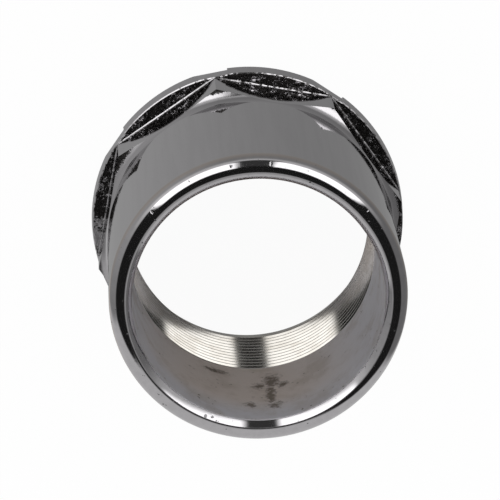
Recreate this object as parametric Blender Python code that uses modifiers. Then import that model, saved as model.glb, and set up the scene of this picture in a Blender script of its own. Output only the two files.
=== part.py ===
"""Long retaining nut for a hydraulic coupling, machined from one forging and chromed.

A round sleeve ends at the top in a rounded lip with a chamfer inside. At its foot stands a short octagon of
wrench flats on a plain round rim. The octagon's corners are turned off at the top by a
steep chamfer, which runs into the sleeve by a small fillet, so each flat ends upwards in
an arch. The rim stands out round the octagon and leaves a crescent of flat shoulder
below each flat. The bore is plain behind the lip and threaded behind the rim. The model
gives the thread's bore at the crests, with the lead-in at its mouth at full thread size.

The nut stands on the rim's end face. The origin is at the middle of that face, +Z runs
along the bore to the lip, and the first wrench flat faces +X. Lengths are in metres.
"""

import math

import bmesh
import bpy
from mathutils import Matrix

MM = 0.001

# Bore and sleeve
BORE_RADIUS = 19.9 * MM
WALL = 3.65 * MM
HEIGHT = 45.8 * MM

# Lip: the outer rounding takes most of the wall, and an inner chamfer takes the rest
LIP_OUTER_SHARE = 0.727
LIP_OUTER_DROP = 2.75 * MM
LIP_CHAMFER_DROP = 1.1 * MM

# Wrench flats, and the chamfer turned on their corners, by its angle to the bore's axis
FLAT_COUNT = 8
FLAT_PROUD = 0.1 * MM
CORNER_HEIGHT = 7.2 * MM
CHAMFER_ANGLE = math.radians(66)
CHAMFER_FILLET = 3.0 * MM

# Rim
RIM_HEIGHT = 3.25 * MM
RIM_LEDGE = 0.25 * MM
RIM_DRAFT = 0.2 * MM
EDGE_BREAK = 0.2 * MM

# Reliefs on the rim below some of the flats' corners
RELIEF_CORNERS = (1, 2, 3)
RELIEF_PROUD = 0.1 * MM
RELIEF_TURN = math.radians(-1.5)
RELIEF_WALL_OFFSET = 1.57 * MM
RELIEF_RUN_OUT = 6.0 * MM

# Mouth of the thread
THREAD_DEPTH = 0.74 * MM
LEAD_IN_CLEARANCE = 0.2 * MM
LEAD_IN_DEPTH = 2.5 * MM

# Fineness of the round surfaces, and how far a cutter reaches past what it cuts
SEGMENTS = 12 * FLAT_COUNT
LIP_OUTER_STEPS = 8
FILLET_STEPS = 6
CUTTER_MARGIN = 2.0 * MM
MERGE_DISTANCE = 0.00001
SHARP_ANGLE = math.radians(13)

# Sizes that follow from the ones above
TUBE_RADIUS = BORE_RADIUS + WALL
FLAT_APOTHEM = TUBE_RADIUS + FLAT_PROUD
CORNER_ANGLE = math.pi / FLAT_COUNT
CORNER_RADIUS = FLAT_APOTHEM / math.cos(CORNER_ANGLE)
RIM_TOP_RADIUS = CORNER_RADIUS + RIM_LEDGE
RIM_BOTTOM_RADIUS = RIM_TOP_RADIUS + RIM_DRAFT
RELIEF_DISTANCE = CORNER_RADIUS + RELIEF_PROUD
LEAD_IN_RADIUS = BORE_RADIUS + THREAD_DEPTH + LEAD_IN_CLEARANCE
CREST_RADIUS = TUBE_RADIUS - LIP_OUTER_SHARE * WALL
BLANK_RADIUS = RIM_TOP_RADIUS - EDGE_BREAK / 2
CORNER_TOP = RIM_HEIGHT + CORNER_HEIGHT
CHAMFER_FOOT = CORNER_TOP - (BLANK_RADIUS - CORNER_RADIUS) / math.tan(CHAMFER_ANGLE)
CHAMFER_TOP = CORNER_TOP + (CORNER_RADIUS - TUBE_RADIUS) / math.tan(CHAMFER_ANGLE)
FILLET_TANGENT = CHAMFER_FILLET * math.tan(CHAMFER_ANGLE / 2)


def clear_scene():
    """Remove every object of the start-up scene."""
    for item in list(bpy.data.objects):
        bpy.data.objects.remove(item, do_unlink=True)


def make_collection(name):
    """A new collection in the scene."""
    collection = bpy.data.collections.new(name)
    bpy.context.scene.collection.children.link(collection)
    return collection


def arc(center, half_width, half_height, start, end, steps):
    """Points (r, z) along an ellipse, by angles from +r towards +z, both ends included."""
    points = []
    for step in range(steps + 1):
        angle = start + (end - start) * step / steps
        points.append((center[0] + half_width * math.cos(angle), center[1] + half_height * math.sin(angle)))
    return points


def outer_profile():
    """Points (r, z) from the lip's crest down the outside to the rim's end face."""
    quarter = math.pi / 2
    lip = arc(
        (CREST_RADIUS, HEIGHT - LIP_OUTER_DROP), TUBE_RADIUS - CREST_RADIUS, LIP_OUTER_DROP,
        quarter, 0.0, LIP_OUTER_STEPS,
    )
    fillet = arc(
        (TUBE_RADIUS + CHAMFER_FILLET, CHAMFER_TOP + FILLET_TANGENT), CHAMFER_FILLET, CHAMFER_FILLET,
        math.pi, math.pi + CHAMFER_ANGLE, FILLET_STEPS,
    )
    rim = [
        (BLANK_RADIUS, CHAMFER_FOOT),
        (BLANK_RADIUS, RIM_HEIGHT),
        (RIM_TOP_RADIUS, RIM_HEIGHT - EDGE_BREAK / 2),
        (RIM_BOTTOM_RADIUS, EDGE_BREAK),
        (RIM_BOTTOM_RADIUS - EDGE_BREAK, 0.0),
    ]
    return lip + fillet + rim


def inner_profile():
    """Points (r, z) from the rim's end face up the bore to the foot of the lip's chamfer."""
    mouth = [
        (LEAD_IN_RADIUS + EDGE_BREAK, 0.0),
        (LEAD_IN_RADIUS, EDGE_BREAK),
        (LEAD_IN_RADIUS, LEAD_IN_DEPTH),
        (BORE_RADIUS, LEAD_IN_DEPTH + LEAD_IN_RADIUS - BORE_RADIUS),
    ]
    return mouth + [(BORE_RADIUS, HEIGHT - LIP_CHAMFER_DROP)]


def turned_blank(name, collection):
    """The nut as it leaves the lathe: its closed profile turned about Z."""
    points = outer_profile() + inner_profile()
    vertices = [(radius, 0.0, height) for radius, height in points]
    edges = [(index, (index + 1) % len(points)) for index in range(len(points))]
    mesh = bpy.data.meshes.new(name)
    mesh.from_pydata(vertices, edges, [])
    blank = bpy.data.objects.new(name, mesh)
    collection.objects.link(blank)
    turn = blank.modifiers.new("turn", "SCREW")
    turn.axis = "Z"
    turn.angle = 2 * math.pi
    turn.steps = SEGMENTS
    turn.render_steps = SEGMENTS
    turn.use_merge_vertices = True
    turn.merge_threshold = MERGE_DISTANCE
    return blank


def cutter_object(name, build, collection):
    """A mesh made by the function build, kept out of the render and shown as wires."""
    mesh = bpy.data.meshes.new(name)
    shape = bmesh.new()
    build(shape)
    shape.to_mesh(mesh)
    shape.free()
    cutter = bpy.data.objects.new(name, mesh)
    cutter.hide_render = True
    cutter.display_type = "WIRE"
    collection.objects.link(cutter)
    return cutter


def prism_builder(sides, corner_radius, low, high, turn):
    """A function that fills a bmesh with an upright prism between two heights."""
    place = Matrix.Translation((0.0, 0.0, (low + high) / 2)) @ Matrix.Rotation(turn, 4, "Z")

    def build(shape):
        bmesh.ops.create_cone(
            shape, cap_ends=True, segments=sides, radius1=corner_radius, radius2=corner_radius,
            depth=high - low, matrix=place,
        )

    return build


def cut(target, cutter):
    """Take the cutter away from the target."""
    boolean = target.modifiers.new(cutter.name, "BOOLEAN")
    boolean.operation = "DIFFERENCE"
    boolean.solver = "EXACT"
    boolean.object = cutter


def flats_cutter(collection):
    """All that a mill takes away around the flats: a ring with the flats' prism left out."""
    top = CHAMFER_TOP + FILLET_TANGENT + CUTTER_MARGIN
    ring = cutter_object(
        "flats_ring",
        prism_builder(SEGMENTS, RIM_BOTTOM_RADIUS + CUTTER_MARGIN, RIM_HEIGHT, top, 0.0),
        collection,
    )
    prism = cutter_object(
        "flats_prism",
        prism_builder(
            FLAT_COUNT, CORNER_RADIUS, RIM_HEIGHT - CUTTER_MARGIN, top + CUTTER_MARGIN, CORNER_ANGLE
        ),
        collection,
    )
    cut(ring, prism)
    return ring


def relief_cutter(corner, collection):
    """A block whose inner face lays a small plane on the rim, closed by a wall on one side."""
    depth = RIM_BOTTOM_RADIUS + CUTTER_MARGIN - RELIEF_DISTANCE
    width = RELIEF_WALL_OFFSET + RELIEF_RUN_OUT
    height = RIM_HEIGHT + 2 * CUTTER_MARGIN
    middle = (RELIEF_DISTANCE + depth / 2, (RELIEF_RUN_OUT - RELIEF_WALL_OFFSET) / 2, RIM_HEIGHT / 2)
    turn = (2 * corner + 1) * CORNER_ANGLE + RELIEF_TURN
    place = (
        Matrix.Rotation(turn, 4, "Z")
        @ Matrix.Translation(middle)
        @ Matrix.Diagonal((depth, width, height, 1.0))
    )

    def build(shape):
        bmesh.ops.create_cube(shape, size=1.0, matrix=place)

    return cutter_object(f"relief_{corner}", build, collection)


def chrome_material():
    """Chrome plate, a little darkened by use."""
    material = bpy.data.materials.new("chrome")
    material.use_nodes = True
    shader = material.node_tree.nodes["Principled BSDF"]
    shader.inputs["Base Color"].default_value = (0.55, 0.55, 0.56, 1.0)
    shader.inputs["Metallic"].default_value = 1.0
    shader.inputs["Roughness"].default_value = 0.12
    return material


def finish_surface(item, material):
    """Apply the modifiers, shade the round surfaces smooth and keep the real edges sharp."""
    evaluated = item.evaluated_get(bpy.context.evaluated_depsgraph_get())
    mesh = bpy.data.meshes.new_from_object(evaluated)
    item.modifiers.clear()
    item.data = mesh
    mesh.name = item.name
    mesh.shade_smooth()
    mesh.set_sharp_from_angle(angle=SHARP_ANGLE)
    mesh.materials.clear()
    mesh.materials.append(material)


def main():
    """Turn the blank, mill the flats and reliefs, and give it its finish."""
    clear_scene()
    parts = make_collection("retaining_nut")
    cutters = make_collection("cutters")
    nut = turned_blank("retaining_nut", parts)
    cut(nut, flats_cutter(cutters))
    for corner in RELIEF_CORNERS:
        cut(nut, relief_cutter(corner, cutters))
    finish_surface(nut, chrome_material())


main()
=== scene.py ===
"""Visual model of a chromed retaining nut: one closed surface with its thread, and a plain studio.

The nut stands on its rim at the origin, with +Z along the bore to the lip. The surface is a
grid. Its rows run along the nut's section, from the lip's crest down the outside and back up
the bore, and its columns run round the bore's axis. Lengths are in metres.
"""

import math

import bpy
import numpy as np
from mathutils import Matrix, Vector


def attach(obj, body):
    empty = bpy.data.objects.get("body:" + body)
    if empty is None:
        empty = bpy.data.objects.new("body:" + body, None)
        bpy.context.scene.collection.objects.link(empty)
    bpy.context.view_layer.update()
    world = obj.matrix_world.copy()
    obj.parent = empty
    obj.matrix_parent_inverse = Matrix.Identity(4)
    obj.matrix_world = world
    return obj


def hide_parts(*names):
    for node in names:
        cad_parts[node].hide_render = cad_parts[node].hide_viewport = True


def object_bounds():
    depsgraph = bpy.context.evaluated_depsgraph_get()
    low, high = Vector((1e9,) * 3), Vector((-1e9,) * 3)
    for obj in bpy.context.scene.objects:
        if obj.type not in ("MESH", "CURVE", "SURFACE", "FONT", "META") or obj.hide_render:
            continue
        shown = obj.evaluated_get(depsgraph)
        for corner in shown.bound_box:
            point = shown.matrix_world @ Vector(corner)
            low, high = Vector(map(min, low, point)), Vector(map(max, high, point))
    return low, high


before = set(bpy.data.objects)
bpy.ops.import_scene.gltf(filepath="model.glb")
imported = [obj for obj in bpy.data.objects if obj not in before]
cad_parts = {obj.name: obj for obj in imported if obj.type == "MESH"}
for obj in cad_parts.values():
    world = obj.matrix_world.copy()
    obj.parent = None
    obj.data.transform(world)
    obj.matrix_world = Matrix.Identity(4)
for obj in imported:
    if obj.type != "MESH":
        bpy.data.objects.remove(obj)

bl_info = {
    "name": "Retaining Nut",
    "version": (1, 0, 0),
    "blender": (4, 5, 0),
    "location": "3D View > Sidebar > Nut",
    "description": "Builds a chromed retaining nut and the studio that it stands in",
    "category": "Object",
}

MM = 0.001
DEGREES = 180.0 / math.pi
NUT = "retaining_nut"
CAD_LOW, CAD_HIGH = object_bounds()
HEIGHT = CAD_HIGH[2]

# Sleeve and the outside of the lip, as the solid has them
BORE_RADIUS = 19.9 * MM
WALL = 3.65 * MM
TUBE_RADIUS = BORE_RADIUS + WALL
LIP_OUTER_SHARE = 0.727
CREST_RADIUS = TUBE_RADIUS - LIP_OUTER_SHARE * WALL
LIP_OUTER_DROP = 2.75 * MM

# Chamfer inside the lip: a narrow broken edge, then a slope that steepens from the bore to the
# crest, the most on the side that is a little rounded
LIP_EDGE_WIDTH = 0.1 * MM
LIP_EDGE_DROP = 0.2 * MM
LIP_TILT_LOW = math.radians(41)
LIP_TILT_HIGH = math.radians(45)
LIP_TILT_WORN = math.radians(65)
LIP_WORN_SIDE = math.radians(107.5)
LIP_WORN_REACH = math.radians(72)

# Wrench flats, and the chamfer and fillet above their corners
FLAT_COUNT = 8
FLAT_PROUD = 0.1 * MM
CORNER_HEIGHT = 7.2 * MM
CHAMFER_ANGLE = math.radians(66)
CHAMFER_FILLET = 3.0 * MM
CORNER_ANGLE = math.pi / FLAT_COUNT
FLAT_APOTHEM = TUBE_RADIUS + FLAT_PROUD
CORNER_RADIUS = FLAT_APOTHEM / math.cos(CORNER_ANGLE)

# Rim, and the reliefs on it below some of the corners
RIM_HEIGHT = 3.25 * MM
RIM_LEDGE = 0.25 * MM
RIM_DRAFT = 0.2 * MM
RIM_TOP_RADIUS = CORNER_RADIUS + RIM_LEDGE
RIM_BOTTOM_RADIUS = RIM_TOP_RADIUS + RIM_DRAFT
BOTTOM_BREAK = 0.2 * MM
RELIEF_CORNERS = (1, 2, 3)
RELIEF_DISTANCE = CORNER_RADIUS + 0.1 * MM
RELIEF_TURN = math.radians(-1.5)
RELIEF_WALL_OFFSET = 1.57 * MM
RELIEF_RUN_OUT = 6.0 * MM

# Heights that follow from the sizes above
CORNER_TOP = RIM_HEIGHT + CORNER_HEIGHT
CHAMFER_TOP = CORNER_TOP + (CORNER_RADIUS - TUBE_RADIUS) / math.tan(CHAMFER_ANGLE)
FILLET_CENTRE = CHAMFER_TOP + CHAMFER_FILLET * math.tan(CHAMFER_ANGLE / 2)

# Mouth of the thread
LEAD_IN_RADIUS = BORE_RADIUS + 0.94 * MM
LEAD_IN_DEPTH = 2.5 * MM

# One turn of the thread, from crest over flank and root to the next crest: share of the pitch
# and depth at each step
THREAD_STEPS = (0.0, 0.1, 0.2, 0.505, 0.57, 0.63)
THREAD_DEPTHS = (0.0, 0.0, 0.0, 1.0, 1.0, 1.0)
THREAD_TURNS = 12

# Smooth lumps on the shoulder: angle in degrees and distance from the axis in millimetres. Then
# their reach round and across the shoulder, and their rise
NODULES = ((97.8, 24.78), (79.3, 24.48))
NODULE_AROUND = 0.45 * MM
NODULE_ACROSS = 0.15 * MM
NODULE_RISE = 0.16 * MM

# Nicks on the lip: angle in degrees and distance from the axis in millimetres
NICKS = ((148.1, 22.3), (111.0, 22.5), (95.1, 22.5), (50.9, 22.4), (-101.0, 20.4), (-104.0, 20.6))

# Stains in the bore: angle in degrees, height in millimetres, and half their width in degrees
# and half their length in millimetres
STAINS = (
    (-72.0, 27.0, 4.0, 3.2), (-73.0, 33.5, 2.4, 4.5), (-71.5, 38.5, 3.6, 1.6), (-78.0, 29.0, 3.0, 1.6),
    (-83.0, 38.0, 3.2, 1.2), (-98.0, 23.7, 6.0, 1.0), (-66.9, 29.7, 2.6, 1.4),
)

# Places round the axis, in degrees: the flat with clean edges, the corner with the narrowest
# dark skin, the corner with the widest dark skin, the side where the dark skin is narrower,
# more spotted and rougher, and the brown side of the bore
CLEAN_FLAT = 135.0
NARROW_SKIN_CORNER = 67.5
DARK_CORNER = 157.5
SPOTTED_SKIN_SIDE = -160.0
BROWN_SIDE = -88.0

# Fineness of the grid: columns round the axis, half the gap between the two columns at a
# relief's wall, the distance from an edge to the row that supports it, the places of the rows
# down a flat, and the angle past which an edge is shaded sharp
COLUMNS = 54 * FLAT_COUNT
WALL_GAP = math.radians(0.02)
SUPPORT = 0.06 * MM
FLAT_ROWS = (0.004, 0.15, 0.35, 0.55, 0.75, 0.9, 0.985, 1.0)
SHARP_ANGLE = math.radians(15.5)

# Numbers of the materials, in the order in which the nut takes them
CHROME, FORGED, SATIN, THREAD, TURNED, WORN = range(6)

# The room in the reflections, in degrees round the axis and above the horizon: two windows and
# the pier between them, each with its middle, half its width, its foot and its head, the side
# that the windows light, the pale wall opposite, and a lamp. Then their greys
WINDOW_PANELS = ((64.0, 25.0, 12.0, 51.0), (134.5, 25.0, 12.0, 51.0))
PIER_PANEL = (98.0, 12.0, 5.0, 49.0)
PIER_TOP = 98.5
PANEL_BLUR = 3.0
WINDOW_SIDE = 100.0
PALE_SIDE = -88.0
LAMP_PLACE = (-72.0, 76.0)
CEILING_GREY = 0.014
PIER_GREY = 0.05
PALE_GREY = 0.64
GLOW_GREY = 0.38
LAMP_GREY = 0.45

# Camera, worked out from the photograph's circles: angle round the axis and above the horizon,
# turn about its own line of sight, and place
CAMERA_TURN = math.radians(107.4776)
CAMERA_RISE = math.radians(72.3382)
CAMERA_ROLL = math.radians(172.2027)
CAMERA_PLACE = (-0.05966, 0.18867, 0.64017)
FLOOR_HALF = 1.5
FLOOR_DROP = 0.05 * MM


def length_property(name, description, default):
    """A length that a user may change."""
    return bpy.props.FloatProperty(
        name=name, description=description, default=default, min=0.0, unit="LENGTH", precision=5
    )


def colour_property(name, description, default):
    """A colour that a user may change."""
    return bpy.props.FloatVectorProperty(
        name=name, description=description, default=default, size=3, subtype="COLOR",
        min=0.0, max=1.0,
    )


def share_property(name, description, default):
    """A number from 0 to 1 that a user may change."""
    return bpy.props.FloatProperty(
        name=name, description=description, default=default, min=0.0, max=1.0, subtype="FACTOR"
    )


class NutShape(bpy.types.PropertyGroup):
    """Fine forms that the solid leaves out."""

    thread_pitch: length_property("Thread pitch", "Rise of the thread in one turn", 1.438 * MM)
    thread_depth: length_property("Thread depth", "From the thread's crest to its root", 0.74 * MM)
    thread_start: length_property("Thread start", "Height of a crest on the +X side", 1.6 * MM)
    thread_end: length_property("Thread end", "Height at which the thread runs out", 20.3 * MM)
    foot_chamfer: length_property("Foot chamfer", "Slope between a flat and the shoulder", 0.16 * MM)
    rim_chamfer: length_property("Rim chamfer", "Broken upper edge of the rim", 0.16 * MM)
    forging_relief: length_property("Forging relief", "Height of the shoulder's roughness", 0.05 * MM)


class NutFinish(bpy.types.PropertyGroup):
    """Colours and gloss of the nut."""

    chrome: colour_property("Chrome", "Colour of the polished plate", (0.555, 0.542, 0.555))
    # Colour of a painted warm reflection below the lip's crest
    painted_reflection_tint: colour_property("Fringe", "Warm tint below the lip's crest", (0.60, 0.53, 0.48))
    # Near-black colour of the forged skin: painted shade over rough plate
    forged_shade: colour_property("Forged skin", "Rough skin left by forging", (0.035, 0.033, 0.032))
    satin: colour_property("Satin bore", "Brown side of the plain bore", (0.72, 0.645, 0.60))
    cool_satin: colour_property("Cool satin", "Other side of the bore", (0.70, 0.69, 0.725))
    stain: colour_property("Stain", "Colour of the stains in the bore", (0.34, 0.26, 0.18))
    thread: colour_property("Thread", "Colour of the cut thread", (0.53, 0.51, 0.475))
    dull_thread: colour_property("Dull thread", "Clouds on the thread", (0.44, 0.415, 0.375))
    chrome_roughness: share_property("Chrome roughness", "Roughness of the polished plate", 0.05)
    satin_roughness: share_property("Satin roughness", "Roughness of the bore", 0.55)


class StudioLook(bpy.types.PropertyGroup):
    """Light and floor."""

    floor: colour_property("Floor", "Colour of the floor", (0.9, 0.9, 0.9))
    window: bpy.props.FloatProperty(
        name="Window light", description="Strength of the two windows in reflections",
        default=2.1, min=0.0,
    )


class Wire:
    """A node's output that Python's arithmetic turns into Math nodes."""

    def __init__(self, bench, socket):
        self.bench = bench
        self.socket = socket

    def maths(self, operation, *values):
        """A Math node on this value and the others."""
        inputs = dict(enumerate((self,) + values))
        return self.bench.node("ShaderNodeMath", {"operation": operation}, inputs)

    def __add__(self, other):
        return self.maths("ADD", other)

    __radd__ = __add__

    def __sub__(self, other):
        return self.maths("SUBTRACT", other)

    def __rsub__(self, other):
        return self.bench.node("ShaderNodeMath", {"operation": "SUBTRACT"}, {0: other, 1: self})

    def __mul__(self, other):
        return self.maths("MULTIPLY", other)

    __rmul__ = __mul__

    def __truediv__(self, other):
        return self.maths("DIVIDE", other)

    def __pow__(self, other):
        return self.maths("POWER", other)

    def largest(self, other):
        """The larger of the two values."""
        return self.maths("MAXIMUM", other)

    def smallest(self, other):
        """The smaller of the two values."""
        return self.maths("MINIMUM", other)

    def size(self):
        """The value without its sign."""
        return self.maths("ABSOLUTE")


class Bench:
    """Makes and links the nodes of one material or world."""

    def __init__(self, tree):
        self.tree = tree
        tree.nodes.clear()

    def node(self, kind, settings=None, inputs=None, output=0):
        """A node with its settings, its sockets' values or links, and the output that is wanted."""
        made = self.tree.nodes.new(kind)
        for key, value in (settings or {}).items():
            setattr(made, key, value)
        for key, value in (inputs or {}).items():
            socket = self.find(made.inputs, key)
            if isinstance(value, Wire):
                self.tree.links.new(value.socket, socket)
            else:
                socket.default_value = value
        if not made.outputs:
            return made
        return Wire(self, self.find(made.outputs, output))

    def find(self, sockets, key):
        """A socket by its place, identifier or name."""
        if isinstance(key, int):
            return sockets[key]
        for socket in sockets:
            if socket.identifier == key:
                return socket
        return sockets[key]

    def step(self, value, start, end):
        """0 before start, 1 past end and a smooth rise between; start may be the larger one."""
        low, high, first, last = (start, end, 0.0, 1.0) if start < end else (end, start, 1.0, 0.0)
        return self.node(
            "ShaderNodeMapRange",
            {"interpolation_type": "SMOOTHSTEP"},
            {"Value": value, "From Min": low, "From Max": high, "To Min": first, "To Max": last},
        )

    def blend(self, share, first, second):
        """The first colour at share 0, the second at 1."""
        return self.node(
            "ShaderNodeMix",
            {"data_type": "RGBA"},
            {"Factor_Float": share, "A_Color": first, "B_Color": second},
            "Result_Color",
        )

    def noise(self, place, scale, detail=2.0, roughness=0.5):
        """Soft noise from about 0.25 to 0.75."""
        return self.node(
            "ShaderNodeTexNoise", None,
            {"Vector": place, "Scale": scale, "Detail": detail, "Roughness": roughness},
        )

    def vector(self, x, y, z):
        """A vector from its three parts."""
        return self.node("ShaderNodeCombineXYZ", None, {0: x, 1: y, 2: z})

    def parts(self, vector):
        """The three parts of a vector."""
        first = self.node("ShaderNodeSeparateXYZ", None, {0: vector})
        outputs = first.socket.node.outputs
        return first, Wire(self, outputs[1]), Wire(self, outputs[2])


def rgba(colour, factor=1.0):
    """A colour property as a node's colour, made darker or lighter by a factor."""
    return (colour[0] * factor, colour[1] * factor, colour[2] * factor, 1.0)


def grey(value):
    """A grey as a node's colour."""
    return (value, value, value, 1.0)


def column_angles():
    """Even angles round the axis, with two columns moved close to each side of a relief's wall."""
    angles = np.linspace(0.0, 2 * math.pi, COLUMNS + 1)
    for corner in RELIEF_CORNERS:
        wall = relief_normal(corner) - math.asin(RELIEF_WALL_OFFSET / RIM_TOP_RADIUS)
        nearest = int(round(wall / (2 * math.pi) * COLUMNS))
        angles[nearest] = wall - WALL_GAP
        angles[nearest + 1] = wall + WALL_GAP
    return angles


def relief_normal(corner):
    """Direction that a relief on the rim faces."""
    return (2 * corner + 1) * CORNER_ANGLE + RELIEF_TURN


def flats_radius(angles):
    """Radius of the octagon: its apothem over the cosine of the angle from the nearest flat's
    middle."""
    from_flat = angles - np.round(angles / (2 * CORNER_ANGLE)) * 2 * CORNER_ANGLE
    return FLAT_APOTHEM / np.cos(from_flat)


def relief_radius(angles):
    """Radius of the reliefs' planes, their distance over the cosine of the angle from their
    direction, and a large number outside each relief's wall and run-out."""
    radius = np.full_like(angles, 1.0)
    for corner in RELIEF_CORNERS:
        turned = angles - relief_normal(corner)
        plane = RELIEF_DISTANCE / np.cos(turned)
        across = plane * np.sin(turned)
        facing = np.abs(turned) < 0.5
        inside = facing & (across > -RELIEF_WALL_OFFSET) & (across < RELIEF_RUN_OUT)
        radius = np.where(inside, plane, radius)
    return radius


def blank_height(radius):
    """Height of the turned surface above the flats at a radius: a circle's arc on the sleeve's
    side of the fillet's end, and the chamfer's straight line past it."""
    rise = 1.0 - np.clip((radius - TUBE_RADIUS) / CHAMFER_FILLET, 0.0, 1.0)
    fillet = FILLET_CENTRE - CHAMFER_FILLET * np.sqrt(1.0 - rise**2)
    chamfer = CORNER_TOP + (CORNER_RADIUS - radius) / math.tan(CHAMFER_ANGLE)
    fillet_end = TUBE_RADIUS + CHAMFER_FILLET * (1.0 - math.cos(CHAMFER_ANGLE))
    return np.where(radius < fillet_end, fillet, chamfer)


def forged_relief(radius, angles, seed, depth, wave_lengths):
    """Seeded roughness: the mean of many plane cosine waves with random directions, starts and
    lengths, over the horizontal plane."""
    chance = np.random.default_rng(seed)
    across = radius * np.cos(angles)
    along = radius * np.sin(angles)
    total = np.zeros_like(across)
    count = 48
    for turn, start, share in chance.random((count, 3)):
        number = 2 * math.pi / (wave_lengths[0] + (wave_lengths[1] - wave_lengths[0]) * share)
        direction = 2 * math.pi * turn
        waves = across * math.cos(direction) + along * math.sin(direction)
        total += np.cos(number * waves + 2 * math.pi * start)
    return depth * total / math.sqrt(count / 2)


def nodules(radius, angles):
    """A few smooth lumps on the shoulder: bell curves of the distances round and across it."""
    total = np.zeros_like(radius)
    for turn, distance in NODULES:
        around = radius * (angles - math.radians(turn)) / NODULE_AROUND
        across = (radius - distance * MM) / NODULE_ACROSS
        total += NODULE_RISE * np.exp(-0.5 * (around**2 + across**2))
    return total


def ragged(angles, seed):
    """Uneven width of a small edge: one, plus seeded cosine waves round the axis, which are
    faint below one flat and strong below the others."""
    chance = np.random.default_rng(seed)
    waves = np.zeros_like(angles)
    for count, start in zip(chance.integers(60, 200, 24), chance.random(24)):
        waves += np.cos(count * angles + 2 * math.pi * start)
    calm = np.exp(-(((np.degrees(angles) - CLEAN_FLAT) / 19.0) ** 4))
    return np.clip(1.0 + waves / 3.5 * (0.16 - 0.13 * calm), 0.4, 1.4)


class Section:
    """Rows of the grid: each has a radius and a height for every column."""

    def __init__(self, angles):
        self.angles = angles
        self.radius = []
        self.height = []
        self.finish = []

    def add(self, radius, height, finish):
        """Add rows, with the number of the material on the faces that follow each of them."""
        radius, height = np.broadcast_arrays(radius, height)
        rows = radius.shape[0]
        width = len(self.angles)
        start = self.count()
        self.radius.append(np.broadcast_to(radius, (rows, width)))
        self.height.append(np.broadcast_to(height, (rows, width)))
        self.finish += [finish] * rows
        return start

    def count(self):
        """Number of rows so far."""
        return len(self.finish)

    def points(self):
        """All the points, row by row."""
        radius = np.concatenate(self.radius)
        height = np.concatenate(self.height)
        across = radius * np.cos(self.angles)
        along = radius * np.sin(self.angles)
        return np.stack([across, along, height], axis=-1)


def shares(count, first=0.0, last=1.0):
    """Even numbers from first to last, as a column."""
    return np.linspace(first, last, count)[:, None]


def add_outside(section, shape):
    """The lip's outer rounding as a quarter of an ellipse, the straight sleeve, the fillet and
    chamfer out to the octagon, the flats as upright lines, the shoulder between two small
    chamfers, the rim's tapered side and its level end face."""
    angles = section.angles
    rounding = shares(25) * math.pi / 2
    section.add(
        CREST_RADIUS + (TUBE_RADIUS - CREST_RADIUS) * np.sin(rounding),
        HEIGHT - LIP_OUTER_DROP * (1.0 - np.cos(rounding)), CHROME,
    )
    top = HEIGHT - LIP_OUTER_DROP
    foot = FILLET_CENTRE
    sleeve = np.array([top - SUPPORT, top - SUPPORT * 6, foot + SUPPORT * 6, foot + SUPPORT])
    section.add(np.full((4, 1), TUBE_RADIUS), sleeve[:, None], CHROME)

    octagon = flats_radius(angles)
    turned = TUBE_RADIUS + (octagon - TUBE_RADIUS) * shares(24) ** 2
    section.add(turned, blank_height(turned), TURNED)

    edge = np.minimum(RIM_TOP_RADIUS, relief_radius(angles))
    ledge = edge - octagon
    foot_chamfer = np.minimum(shape.foot_chamfer * ragged(angles, 3), 0.4 * ledge)
    rim_chamfer = np.minimum(shape.rim_chamfer * ragged(angles, 5), 0.4 * ledge)
    flat_top = blank_height(octagon)
    flat_foot = RIM_HEIGHT + foot_chamfer
    down = np.array(FLAT_ROWS)[:, None]
    section.add(octagon, flat_top + (flat_foot - flat_top) * down, CHROME)
    slope = shares(4, 0.05, 0.95)
    section.add(octagon + foot_chamfer * slope, RIM_HEIGHT + foot_chamfer * (1.0 - slope), WORN)

    across = shares(15)
    shoulder = octagon + foot_chamfer + (edge - rim_chamfer - octagon - foot_chamfer) * across
    relief = forged_relief(shoulder, angles, 7, shape.forging_relief, (0.5 * MM, 2.2 * MM))
    relief = relief + nodules(shoulder, angles)
    fade = np.sin(math.pi * across) ** 0.5 * np.clip(ledge / (0.8 * MM), 0.0, 1.0)
    section.add(shoulder, RIM_HEIGHT + (relief - shape.forging_relief) * fade, FORGED)
    slope = shares(4, 0.05, 1.0)
    section.add(edge - rim_chamfer * (1.0 - slope), RIM_HEIGHT - rim_chamfer * slope, WORN)

    side_top = RIM_HEIGHT - rim_chamfer
    side_height = side_top + (BOTTOM_BREAK - side_top) * shares(6, 0.02)
    taper = (RIM_BOTTOM_RADIUS - RIM_TOP_RADIUS) / (RIM_HEIGHT - BOTTOM_BREAK)
    side = np.minimum(RIM_TOP_RADIUS + taper * (side_top - side_height), relief_radius(angles))
    section.add(side, side_height, CHROME)
    face_edge = np.minimum(RIM_BOTTOM_RADIUS, relief_radius(angles)) - BOTTOM_BREAK
    mouth = LEAD_IN_RADIUS + BOTTOM_BREAK
    section.add(face_edge + (mouth - face_edge) * shares(5), 0.0, CHROME)


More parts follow.
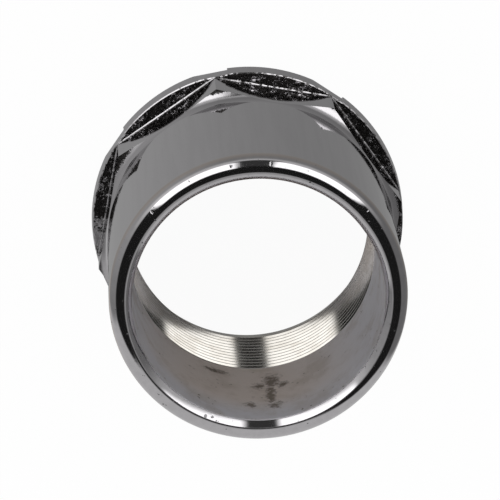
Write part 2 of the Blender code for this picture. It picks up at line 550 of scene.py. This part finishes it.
def add_thread(section, shape):
    """The lead-in and the thread. Rows of the thread climb by one pitch a turn, so each row's
    height is its own share of the pitch plus the angle's. Wedges of rows below and above close
    the gap to the level rows, and the column at the seam joins rows one turn further on. It
    gives the thread's first and last row."""
    pitch = shape.thread_pitch
    turns = section.angles / (2 * math.pi)
    lead_in = (BOTTOM_BREAK, BOTTOM_BREAK * 2, shape.thread_start - SUPPORT)
    section.add(np.full((3, 1), LEAD_IN_RADIUS), np.array(lead_in)[:, None], THREAD)
    steps = np.array(THREAD_STEPS)
    main = (np.arange(THREAD_TURNS)[:, None] + steps[None, :]).reshape(-1, 1)
    main = np.concatenate([main, [[float(THREAD_TURNS)]]])
    wedge = np.append(steps, 1.0)[:, None]
    lower = wedge * turns
    middle = main + turns
    upper = THREAD_TURNS + turns + wedge * (1.0 - turns)
    climb = np.concatenate([lower, middle[1:], upper[1:]])
    phase = np.mod(climb - turns + 1e-9, 1.0)
    depth = np.interp(phase, THREAD_STEPS + (1.0,), THREAD_DEPTHS + (0.0,))
    height = shape.thread_start + climb * pitch
    run_out = np.clip((shape.thread_end - height) / (0.6 * pitch) + 0.5, 0.0, 1.0)
    run_out = run_out**2 * (3.0 - 2.0 * run_out)
    radius = BORE_RADIUS + shape.thread_depth * depth * run_out
    mouth = LEAD_IN_RADIUS - np.maximum(height - LEAD_IN_DEPTH, 0.0)
    first = section.add(np.maximum(radius, mouth), height, THREAD)
    return first, section.count() - 1


def add_bore(section, shape):
    """The plain bore from the last turn of the thread, a narrow broken edge, and the chamfer
    inside the lip, which one side has a little rounded. Its tilt grows evenly with the radius up
    to the crest, so the height below the crest is the logarithm of the ratio of the tilts'
    sines, times the width and over the tilts' difference."""
    width = CREST_RADIUS - BORE_RADIUS - LIP_EDGE_WIDTH
    worn = np.exp(-(((section.angles - LIP_WORN_SIDE) / LIP_WORN_REACH) ** 4))
    highest = LIP_TILT_HIGH + (LIP_TILT_WORN - LIP_TILT_HIGH) * worn
    growth = highest - LIP_TILT_LOW
    share = shares(14, 0.0, 0.97)
    tilt = LIP_TILT_LOW + growth * share
    chamfer = HEIGHT - width / growth * np.log(np.sin(highest) / np.sin(tilt))
    top = chamfer[0] - LIP_EDGE_DROP
    foot = shape.thread_start + (THREAD_TURNS + 1) * shape.thread_pitch + SUPPORT
    section.add(np.full((12, 1), BORE_RADIUS), foot + (top - foot) * shares(12), SATIN)
    section.add(BORE_RADIUS + LIP_EDGE_WIDTH + width * share, chamfer, CHROME)


def closed_faces(rows, first, last):
    """Corners of the faces, turned outwards. The last column takes the first one's points on the
    same row, and between the thread's first and last row those one pitch further up; a wedge's
    thin end is one point."""
    steps = len(THREAD_STEPS)
    number = np.arange(rows * COLUMNS).reshape(rows, COLUMNS)
    opening = number[:, 0].copy()
    opening[first:first + steps + 1] = number[first, 0]
    closing = opening.copy()
    closing[first:last - steps + 1] = opening[first + steps:last + 1]
    closing[last - steps:last + 1] = number[last, 0]
    grid = np.concatenate([number, closing[:, None]], axis=1)
    grid[:, 0] = opening
    below = np.roll(grid, -1, axis=0)
    corners = [grid[:, 1:], grid[:, :-1], below[:, :-1], below[:, 1:]]
    return np.stack(corners, axis=-1).reshape(-1, 4)


def build_nut(shape):
    """The nut's mesh, with smooth normals and sharp edges where the section turns quickly. A
    corner that repeats the next one is left out, and so is a face with fewer than three left."""
    section = Section(column_angles())
    add_outside(section, shape)
    first, last = add_thread(section, shape)
    add_bore(section, shape)
    finish = np.repeat(np.array(section.finish, dtype=np.int32), COLUMNS)
    points = section.points()[:, :-1].reshape(-1, 3)
    corners = closed_faces(section.count(), first, last)
    distinct = corners != np.roll(corners, -1, axis=1)
    real = distinct.sum(axis=1) > 2
    distinct = distinct[real]
    used, order = np.unique(corners[real][distinct], return_inverse=True)
    ends = np.cumsum(distinct.sum(axis=1))
    mesh = bpy.data.meshes.new("nut_surface")
    mesh.vertices.add(len(used))
    mesh.vertices.foreach_set("co", points[used].astype(np.float32).ravel())
    mesh.loops.add(len(order))
    mesh.loops.foreach_set("vertex_index", order.astype(np.int32))
    mesh.polygons.add(len(ends))
    mesh.polygons.foreach_set("loop_start", np.append(0, ends[:-1]).astype(np.int32))
    mesh.update(calc_edges=True)
    mesh.polygons.foreach_set("material_index", finish[real])
    mesh.shade_smooth()
    mesh.set_sharp_from_angle(angle=SHARP_ANGLE)
    soften(mesh, finish[used] == FORGED)
    return mesh


def soften(mesh, rough):
    """Keep the edges inside the rough shoulder smooth."""
    ends = np.zeros(len(mesh.edges) * 2, dtype=np.int32)
    mesh.edges.foreach_get("vertices", ends)
    both = rough[ends.reshape(-1, 2)].all(axis=1)
    sharp = np.zeros(len(mesh.edges), dtype=bool)
    attribute = mesh.attributes["sharp_edge"].data
    attribute.foreach_get("value", sharp)
    attribute.foreach_set("value", sharp & ~both)


def new_material(name):
    """An empty material and the bench for its nodes."""
    material = bpy.data.materials.new(name)
    material.use_nodes = True
    return material, Bench(material.node_tree)


def finish_material(bench, values):
    """The metal shader with its values or links, and the material's output."""
    shader = bench.node("ShaderNodeBsdfPrincipled", None, values)
    bench.node("ShaderNodeOutputMaterial", None, {"Surface": shader})


def object_place(bench):
    """Place on the nut, and its three parts."""
    place = bench.node("ShaderNodeTexCoord", None, None, "Object")
    return (place, *bench.parts(place))


def turn_of(across, along):
    """Angle round the axis in degrees."""
    return along.maths("ARCTAN2", across) * DEGREES


def near(bench, turn, centre, outer, inner):
    """1 within the inner angle of a place round the axis and 0 past the outer one."""
    return bench.step((turn - centre).size(), outer, inner)


def spot_mask(bench, across, along, jitter, spots, outer, inner):
    """1 within the inner distance of any spot and 0 past the outer one, seen along the axis.
    Each spot is an angle in degrees and a distance from the axis in millimetres."""
    mask = 0.0
    for turn, distance in spots:
        aside = across - distance * MM * math.cos(math.radians(turn))
        beyond = along - distance * MM * math.sin(math.radians(turn))
        reach = (aside * aside + beyond * beyond) ** 0.5 + jitter
        mask = bench.step(reach, outer, inner).largest(mask)
    return mask


def chrome_material(finish):
    """Polished plate: faint upright polishing streaks on the sleeve, and on the lip a softer
    gloss with small dull nicks and a painted warm reflection, a lighter warm band below the crest."""
    material, bench = new_material("polished_chrome")
    place, across, along, height = object_place(bench)
    stretched = bench.node(
        "ShaderNodeVectorMath", {"operation": "MULTIPLY"}, {0: place, 1: (1.0, 1.0, 0.05)}
    )
    streaks = bench.step(bench.noise(stretched, 900.0, 3.0), 0.35, 0.65)
    plate = bench.blend(streaks, rgba(finish.chrome, 0.95), rgba(finish.chrome))
    lip = bench.step(height, HEIGHT - 3.0 * MM, HEIGHT - 1.8 * MM)
    grain = bench.noise(place, 1100.0, 2.0, 0.6)
    jitter = (grain - 0.5) * (0.7 * MM)
    dents = spot_mask(bench, across, along, jitter, NICKS, 0.3 * MM, 0.1 * MM)
    nicks = bench.step(grain, 0.70, 0.74).largest(dents) * lip
    # Painted reflection: a lighter, warm band of colour a little below the lip's crest.
    reflection_band_foot = bench.step(height, HEIGHT - 3.2 * MM, HEIGHT - 2.3 * MM)
    reflection_band_top = bench.step(height, HEIGHT - 1.3 * MM, HEIGHT - 2.0 * MM)
    warm = bench.blend(reflection_band_foot * reflection_band_top * 0.7, plate, rgba(finish.painted_reflection_tint))
    colour = bench.blend(nicks, warm, rgba(finish.chrome, 0.35))
    wear = bench.noise(place, 400.0, 3.0, 0.6)
    bump = bench.node(
        "ShaderNodeBump", None,
        {"Strength": 0.3, "Distance": 0.05 * MM, "Height": wear * lip * 0.3 - nicks},
    )
    finish_material(bench, {
        "Base Color": colour,
        "Metallic": 1.0,
        "Roughness": finish.chrome_roughness + lip * 0.015 + nicks * 0.15,
        "Normal": bump,
    })
    return material


def turned_material(finish):
    """Plate on the chamfer and fillet, less well polished than the sleeve, with the rough skin left by
    forging near the octagon's corners, given the forged skin's near-black painted shade: widest at one
    corner and nearly gone at another."""
    material, bench = new_material("turned_chamfer")
    place, across, along, _ = object_place(bench)
    radius = (across * across + along * along) ** 0.5
    turn = turn_of(across, along)
    grain = bench.noise(place, 1700.0, 3.0, 0.6)
    narrowed = near(bench, turn, NARROW_SKIN_CORNER, 22.0, 12.0) * (0.55 * MM)
    widened = near(bench, turn, DARK_CORNER, 22.0, 12.0) * (0.35 * MM)
    bared = near(bench, turn, SPOTTED_SKIN_SIDE, 15.0, 8.0) * (0.6 * MM)
    frayed = radius + (grain - 0.5) * (1.2 * MM) - narrowed + widened - bared
    skin = bench.step(frayed, 24.85 * MM, 25.1 * MM)
    dulled = bench.step(radius, TUBE_RADIUS + 0.1 * MM, TUBE_RADIUS + 0.9 * MM)
    plate = bench.blend(dulled, rgba(finish.chrome), rgba(finish.chrome, 0.85))
    # Painted shade: the skin takes the forged skin's near-black colour.
    colour = bench.blend(skin, plate, rgba(finish.forged_shade))
    bump = bench.node(
        "ShaderNodeBump", None,
        {"Strength": 0.6, "Distance": 0.15 * MM, "Height": grain * skin + grain * 0.06},
    )
    finish_material(bench, {
        "Base Color": colour,
        "Metallic": 1.0,
        "Roughness": finish.chrome_roughness + dulled * 0.13 + skin * 0.2,
        "Normal": bump,
    })
    return material


def worn_material(finish):
    """Broken edges round the shoulder: bright plate, pitted dark except below one flat."""
    material, bench = new_material("worn_edges")
    place, across, along, _ = object_place(bench)
    turn = turn_of(across, along)
    grain = bench.noise(place, 1500.0, 4.0, 0.7)
    pitted = near(bench, turn, CLEAN_FLAT, 17.0, 24.0)
    pits = bench.step(grain + pitted * 0.07, 0.56, 0.66)
    # The pits are real wear. Their colour is the forged skin's near-black painted shade, doubled.
    colour = bench.blend(pits, rgba(finish.chrome), rgba(finish.forged_shade, 2.0))
    finish_material(bench, {
        "Base Color": colour,
        "Metallic": 1.0,
        "Roughness": finish.chrome_roughness + 0.08 + pits * 0.2,
    })
    return material


def forged_shade_material(finish):
    """Rough skin coloured near black as painted shade, with small bright spots where it is left off,
    and bright smooth lumps.
    """
    material, bench = new_material("forged_skin_and_shade")
    place, across, along, _ = object_place(bench)
    turn = turn_of(across, along)
    grain = bench.noise(place, 2300.0, 3.0, 0.65)
    patches = bench.noise(place, 800.0, 2.0, 0.5)
    jitter = (grain - 0.5) * (0.3 * MM)
    lumps = spot_mask(bench, across, along, jitter, NODULES, 0.5 * MM, 0.3 * MM)
    bared = near(bench, turn, SPOTTED_SKIN_SIDE, 15.0, 8.0)
    spots = bench.step(grain * 0.6 + patches * 0.4 + bared * 0.11, 0.545, 0.60).largest(lumps)
    # Painted shade: the skin's near-black colour, left off at the spots and the lumps.
    colour = bench.blend(spots, rgba(finish.forged_shade), rgba(finish.chrome))
    bump = bench.node(
        "ShaderNodeBump", None,
        {"Strength": 0.8, "Distance": 0.2 * MM, "Height": grain * (1.0 - lumps)},
    )
    finish_material(bench, {
        "Base Color": colour,
        "Metallic": 1.0,
        "Roughness": 0.35 - spots * 0.2 + bared * 0.3,
        "Normal": bump,
    })
    return material


def satin_material(finish):
    """Satin bore, browner on one side, with soft clouds, dark brown stains on the side that they
    ran down and small dark dots. Each stain is an ellipse with a ragged edge."""
    material, bench = new_material("satin_bore")
    place, across, along, height = object_place(bench)
    turn = turn_of(across, along)
    brown = near(bench, turn, BROWN_SIDE, 75.0, 15.0) * bench.step(height, 43.0 * MM, 34.0 * MM)
    plain = bench.blend(brown, rgba(finish.cool_satin), rgba(finish.satin))
    clouds = bench.noise(place, 160.0, 4.0, 0.65)
    cloudy = bench.blend(bench.step(clouds, 0.42, 0.7) * 0.3, plain, rgba(finish.stain))
    fine = bench.noise(place, 1300.0, 5.0, 0.7)
    stains = 0.0
    for centre, middle, width, length in STAINS:
        around = (turn - centre) / width
        upward = (height - middle * MM) / (length * MM)
        reach = (around * around + upward * upward) ** 0.5 + (fine - 0.5) * 3.6
        stains = bench.step(reach, 1.3, 0.2).largest(stains)
    specks = bench.step(bench.noise(place, 1250.0, 1.0, 0.5), 0.70, 0.74)
    dark = stains.largest(specks * bench.step(clouds, 0.45, 0.6))
    colour = bench.blend(dark * 0.75, cloudy, rgba(finish.stain, 0.35))
    finish_material(bench, {
        "Base Color": colour,
        "Metallic": 1.0,
        "Roughness": finish.satin_roughness + (fine - 0.5) * 0.15 + dark * 0.2,
    })
    return material


def thread_material(finish):
    """Bright cut thread, a little warm, with duller clouds."""
    material, bench = new_material("cut_thread")
    place = object_place(bench)[0]
    clouds = bench.step(bench.noise(place, 300.0, 3.0), 0.4, 0.7)
    finish_material(bench, {
        "Base Color": bench.blend(clouds, rgba(finish.thread), rgba(finish.dull_thread)),
        "Metallic": 1.0,
        "Roughness": 0.11,
    })
    return material


def studio_world(look):
    """White to the camera and plain white light on dull things. In reflections it is a grey room
    with a dark ceiling, two windows side by side with a pier between them, and a pale wall with
    a lamp's glow opposite, by the direction's angle round the axis and above the horizon."""
    world = bpy.data.worlds.new("studio")
    world.use_nodes = True
    bench = Bench(world.node_tree)
    direction = bench.node("ShaderNodeTexCoord", None, None, "Generated")
    across, along, up = bench.parts(direction)
    turn = turn_of(across, along)
    rise = up.smallest(1.0).largest(-1.0).maths("ARCSINE") * DEGREES

    def away(centre):
        """Angle round the axis from a centre, without its sign."""
        return ((turn - centre + 180.0).maths("FLOORED_MODULO", 360.0) - 180.0).size()

    def panel(centre, half, low, high):
        """1 inside an upright panel and 0 outside it, with soft edges."""
        sides = bench.step(away(centre), half + PANEL_BLUR, half - PANEL_BLUR)
        foot = bench.step(rise, low - PANEL_BLUR, low + PANEL_BLUR)
        head = bench.step(rise, high + PANEL_BLUR, high - PANEL_BLUR)
        return sides * foot * head

    def lay(under, mask, grey_level):
        """What is under the mask, with another grey where the mask is 1."""
        return under * (1.0 - mask) + grey_level * mask

    room = 0.297 + 0.048 * ((turn + 170.0) / DEGREES).maths("COSINE")
    left = 0.15 * bench.step(away(165.0), 60.0, 10.0)
    right = 0.06 * bench.step(away(0.0), 70.0, 20.0)
    room = lay(room, bench.step(rise, -65.0, -20.0), 0.26 + left - right)
    glow = bench.step(away(WINDOW_SIDE), 80.0, 55.0) * bench.step(rise, -16.0, 4.0)
    room = room + glow * GLOW_GREY
    room = lay(room, bench.step(rise, 12.0, 22.0), CEILING_GREY)
    room = lay(room, panel(*PIER_PANEL), PIER_GREY)
    narrowing = away(PALE_SIDE) + bench.step(rise, 10.0, 62.0) * 34.0
    pale_sides = bench.step(narrowing, 60.0, 52.0)
    pale_ends = bench.step(rise, 62.0, 52.0) * bench.step(rise, -68.0, -56.0)
    room = lay(room, pale_sides * pale_ends, PALE_GREY)
    lamp = bench.node(
        "ShaderNodeVectorMath", {"operation": "DOT_PRODUCT"},
        {0: direction, 1: direction_of(*LAMP_PLACE)}, "Value",
    )
    room = room + LAMP_GREY * bench.step(lamp, math.cos(math.radians(14)), math.cos(math.radians(6)))
    first, second = WINDOW_PANELS
    windows = panel(*first).largest(panel(*second))
    between = bench.step(away(PIER_TOP), 12.0, 9.0) * bench.step(rise, 41.0, 44.0)
    room = lay(room, windows * (1.0 - between), look.window)

    glossy = bench.node("ShaderNodeLightPath", None, None, "Is Glossy Ray")
    camera = Wire(bench, glossy.socket.node.outputs["Is Camera Ray"])
    seen = bench.blend(glossy, grey(1.0), bench.vector(room, room, room))
    colour = bench.blend(camera, seen, grey(1.0))
    background = bench.node("ShaderNodeBackground", None, {"Color": colour, "Strength": 1.0})
    bench.node("ShaderNodeOutputWorld", None, {"Surface": background})
    return world


def direction_of(turn, rise):
    """A unit vector from its angles round the axis and above the horizon, in degrees."""
    turn, rise = math.radians(turn), math.radians(rise)
    return (math.cos(rise) * math.cos(turn), math.cos(rise) * math.sin(turn), math.sin(rise))


def floor_material(look):
    """Dull white floor that the camera sees nearly white, with the nut's shadow left on it."""
    material, bench = new_material("floor")
    dull = {"Base Color": rgba(look.floor), "Roughness": 1.0}
    shader = bench.node("ShaderNodeBsdfPrincipled", None, dull)
    glow = bench.node("ShaderNodeEmission", None, {"Color": grey(1.0), "Strength": 1.0})
    camera = bench.node("ShaderNodeLightPath", None, None, "Is Camera Ray")
    mixed = bench.node("ShaderNodeMixShader", None, {0: camera * 0.95, 1: shader, 2: glow})
    bench.node("ShaderNodeOutputMaterial", None, {"Surface": mixed})
    return material


class NUT_OT_surface(bpy.types.Operator):
    """Build the nut's surface and its finishes"""

    bl_idname = "nut.surface"
    bl_label = "Build nut"

    def execute(self, context):
        """Make the mesh, give it its materials and let it stand for the solid."""
        shape = context.scene.nut_shape
        finish = context.scene.nut_finish
        nut = bpy.data.objects.new("nut_surface", build_nut(shape))
        context.scene.collection.objects.link(nut)
        makers = (
            chrome_material, forged_shade_material, satin_material, thread_material, turned_material,
            worn_material,
        )
        for make in makers:
            nut.data.materials.append(make(finish))
        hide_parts(NUT)
        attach(nut, "root")
        return {"FINISHED"}


class NUT_OT_studio(bpy.types.Operator):
    """Build the floor, the light and the camera"""

    bl_idname = "nut.studio"
    bl_label = "Build studio"

    def execute(self, context):
        """Lay the floor, set the world and place the camera."""
        look = context.scene.studio_look
        corners = np.array([(-1.0, -1.0, 0.0), (1.0, -1.0, 0.0), (1.0, 1.0, 0.0), (-1.0, 1.0, 0.0)])
        points = corners * FLOOR_HALF - np.array([0.0, 0.0, FLOOR_DROP])
        mesh = bpy.data.meshes.new("floor")
        mesh.from_pydata(points.tolist(), [], [(0, 1, 2, 3)])
        floor = bpy.data.objects.new("floor", mesh)
        mesh.materials.append(floor_material(look))
        context.scene.collection.objects.link(floor)
        floor.visible_glossy = False
        context.scene.world = studio_world(look)
        camera = bpy.data.cameras.new("camera")
        camera.lens = 288.0
        camera.sensor_width = 36.0
        camera.shift_x = -0.001
        camera.shift_y = 0.001
        camera.clip_start = 0.01
        camera.clip_end = 10.0
        item = bpy.data.objects.new("camera", camera)
        item.matrix_world = camera_matrix()
        context.scene.collection.objects.link(item)
        context.scene.camera = item
        context.scene.view_settings.view_transform = "Standard"
        return {"FINISHED"}


def camera_matrix():
    """The camera's place, and its turns: about its line of sight, up from the horizon and round
    the axis."""
    upwards = Matrix.Rotation(math.pi / 2 - CAMERA_RISE, 4, "X")
    sideways = Matrix.Rotation(CAMERA_TURN + math.pi / 2, 4, "Z")
    roll = Matrix.Rotation(CAMERA_ROLL, 4, "Z")
    return Matrix.Translation(CAMERA_PLACE) @ sideways @ upwards @ roll


class NUT_PT_panel(bpy.types.Panel):
    """The nut's sizes, colours and steps"""

    bl_label = "Retaining Nut"
    bl_space_type = "VIEW_3D"
    bl_region_type = "UI"
    bl_category = "Nut"

    def draw(self, context):
        """List the properties and the steps."""
        layout = self.layout
        for group in (context.scene.nut_shape, context.scene.nut_finish, context.scene.studio_look):
            box = layout.box()
            for name in group.__annotations__:
                box.prop(group, name)
        layout.operator(NUT_OT_surface.bl_idname)
        layout.operator(NUT_OT_studio.bl_idname)


CLASSES = (NutShape, NutFinish, StudioLook, NUT_OT_surface, NUT_OT_studio, NUT_PT_panel)


def register():
    """Add the classes and the scene's properties."""
    for item in CLASSES:
        bpy.utils.register_class(item)
    bpy.types.Scene.nut_shape = bpy.props.PointerProperty(type=NutShape)
    bpy.types.Scene.nut_finish = bpy.props.PointerProperty(type=NutFinish)
    bpy.types.Scene.studio_look = bpy.props.PointerProperty(type=StudioLook)


def unregister():
    """Take the classes and the scene's properties away."""
    del bpy.types.Scene.studio_look
    del bpy.types.Scene.nut_finish
    del bpy.types.Scene.nut_shape
    for item in reversed(CLASSES):
        bpy.utils.unregister_class(item)


def plain(box):
    """Two corners as plain lists of numbers."""
    return [[float(value) for value in corner] for corner in box]


def main():
    """Build everything."""
    register()
    bpy.ops.nut.surface()
    bpy.ops.nut.studio()
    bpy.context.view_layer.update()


if __name__ == "__main__":
    main()
